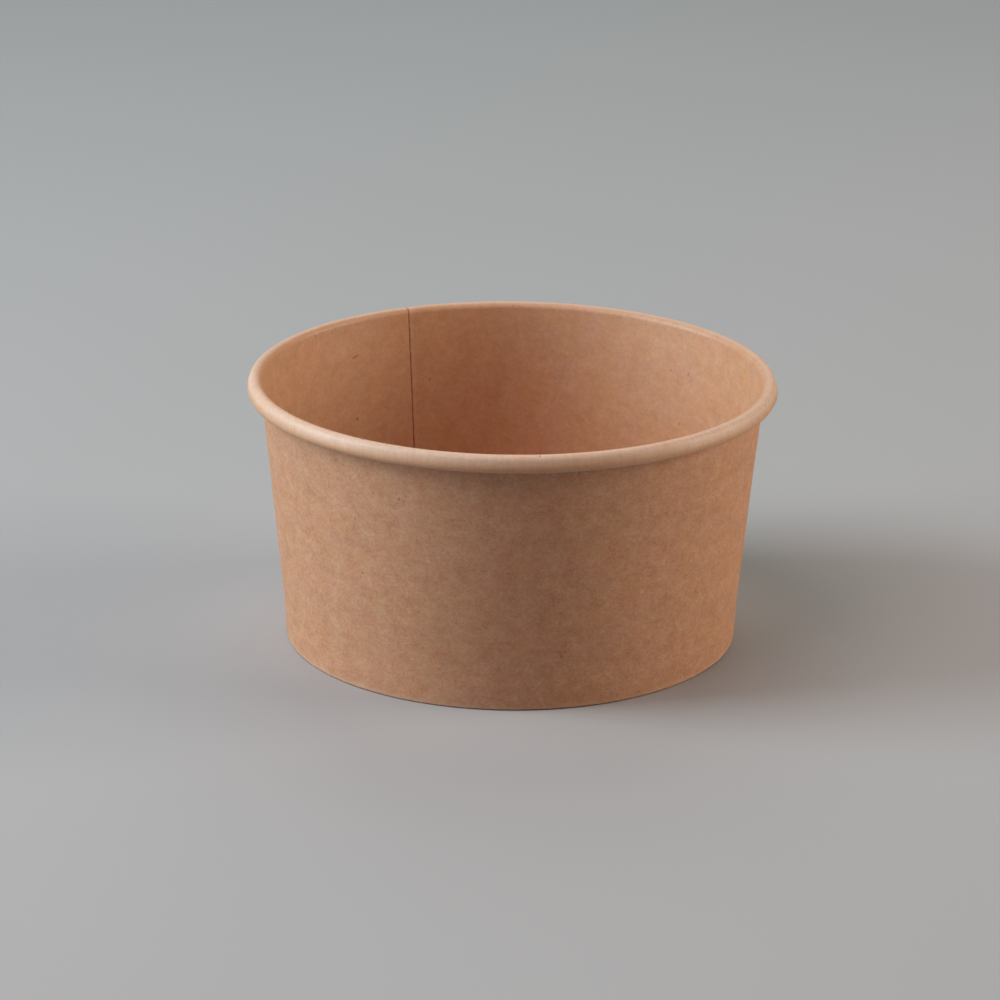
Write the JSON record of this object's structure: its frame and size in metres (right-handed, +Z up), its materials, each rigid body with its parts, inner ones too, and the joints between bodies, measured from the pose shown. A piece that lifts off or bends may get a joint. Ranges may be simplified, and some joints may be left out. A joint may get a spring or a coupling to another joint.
{
  "type": "paper salad bowl",
  "caption": "Round tapered kraft-board bowl, open at the top, with a rolled rim, a glued side lap, and a raised bottom disc held in a folded foot.",
  "frame": {"origin": "centre of the foot's circle on the surface that the bowl stands on", "axes": "+Z up along the bowl's axis, out of its mouth; +X is 116.1 degrees clockwise of the inner ply's cut edge, seen from above"},
  "size_m": [0.15, 0.15, 0.0765],
  "materials": {
    "kraft_wall": "natural brown kraft board with a thin clear lining, satin",
    "kraft_bottom": "natural brown kraft board with a thin clear lining, satin"
  },
  "bodies": {
    "root": {"sidewall": "kraft_wall", "bottom_disc": "kraft_bottom"}
  },
  "joints": []
}
